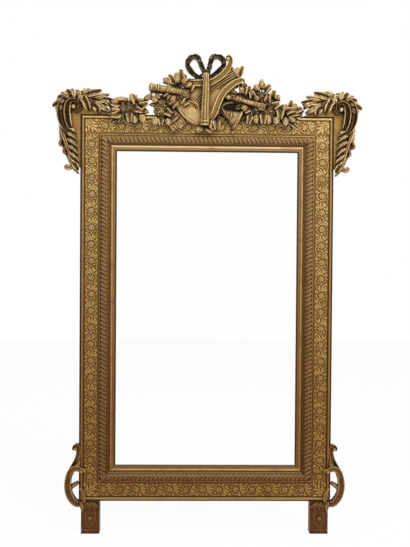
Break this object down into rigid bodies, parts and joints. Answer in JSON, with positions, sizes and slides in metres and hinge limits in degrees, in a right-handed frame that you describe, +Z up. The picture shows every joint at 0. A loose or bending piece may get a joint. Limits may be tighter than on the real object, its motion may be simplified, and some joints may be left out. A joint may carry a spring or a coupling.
{
  "type": "carved gilded wall mirror",
  "caption": "Rectangular wall mirror in a gilded frame with a foliage frieze, ribbon moulding, pierced crest of musical instruments, scrolled corners, block feet and hinged hanging rings.",
  "frame": {"origin": "middle of the bounding box at the level of the soles of the feet", "axes": "+X to the right as seen from the front, +Y from the front towards the wall, +Z up"},
  "size_m": [1.053, 0.083, 1.636],
  "materials": {
    "gilt_frame": "worn gold leaf over red bole on gessoed wood",
    "gilt_carving": "toned gold leaf on carved wood and composition",
    "carcass_wood": "old unfinished pine",
    "foot_wood": "rubbed gilding over dark wood",
    "mirror_glass": "silvered plate",
    "iron": "dark wrought iron"
  },
  "bodies": {
    "mirror": {"back_board_1": "carcass_wood", "back_board_2": "carcass_wood", "back_board_3": "carcass_wood", "back_board_4": "carcass_wood", "back_board_nails": "iron", "corner_ear_left": "gilt_frame", "corner_ear_right": "gilt_frame", "corner_leaf_left": "gilt_carving", "corner_leaf_right": "gilt_carving", "corner_pegs": "carcass_wood", "corner_scroll_left": "gilt_carving", "corner_scroll_right": "gilt_carving", "crest_battens": "carcass_wood", "crest_board": "carcass_wood", "crest_screws": "iron", "edge_lip_bottom": "gilt_frame", "edge_lip_left": "gilt_frame", "edge_lip_right": "gilt_frame", "edge_lip_top": "gilt_frame", "flute": "gilt_carving", "foot_left": "foot_wood", "foot_right": "foot_wood", "foot_screws": "iron", "frieze_bottom": "gilt_frame", "frieze_left": "gilt_frame", "frieze_right": "gilt_frame", "frieze_top": "gilt_frame", "garland_left": "gilt_carving", "garland_right": "gilt_carving", "glazing_blocks": "carcass_wood", "hanger_screws": "iron", "hanger_strap_left": "iron", "hanger_strap_right": "iron", "hunting_horn": "gilt_carving", "leaf_spray": "gilt_carving", "lyre": "gilt_carving", "lyre_strings": "gilt_carving", "mirror_plate": "mirror_glass", "pan_pipes": "gilt_carving", "quiver": "gilt_carving", "rail_bottom": "carcass_wood", "rail_top": "carcass_wood", "reed_pipe": "gilt_carving", "ribbon_bow": "gilt_carving", "ribbon_moulding_bottom": "gilt_frame", "ribbon_moulding_left": "gilt_frame", "ribbon_moulding_right": "gilt_frame", "ribbon_moulding_top": "gilt_frame", "rose_spray_left": "gilt_carving", "rose_spray_right": "gilt_carving", "scroll_bracket_left": "gilt_carving", "scroll_bracket_right": "gilt_carving", "sight_moulding_bottom": "gilt_frame", "sight_moulding_left": "gilt_frame", "sight_moulding_right": "gilt_frame", "sight_moulding_top": "gilt_frame", "stile_left": "carcass_wood", "stile_right": "carcass_wood"},
    "ring_left": {"hanger_ring_left": "iron"},
    "ring_right": {"hanger_ring_right": "iron"}
  },
  "joints": [
    {"name": "swing_left", "type": "hinge", "parent": "mirror", "child": "ring_left", "pos_m": [-0.38, 0.0355, 1.173], "axis": [1, 0, 0], "range_deg": [0, 180]},
    {"name": "swing_right", "type": "hinge", "parent": "mirror", "child": "ring_right", "pos_m": [0.38, 0.0355, 1.173], "axis": [1, 0, 0], "range_deg": [0, 180]}
  ]
}
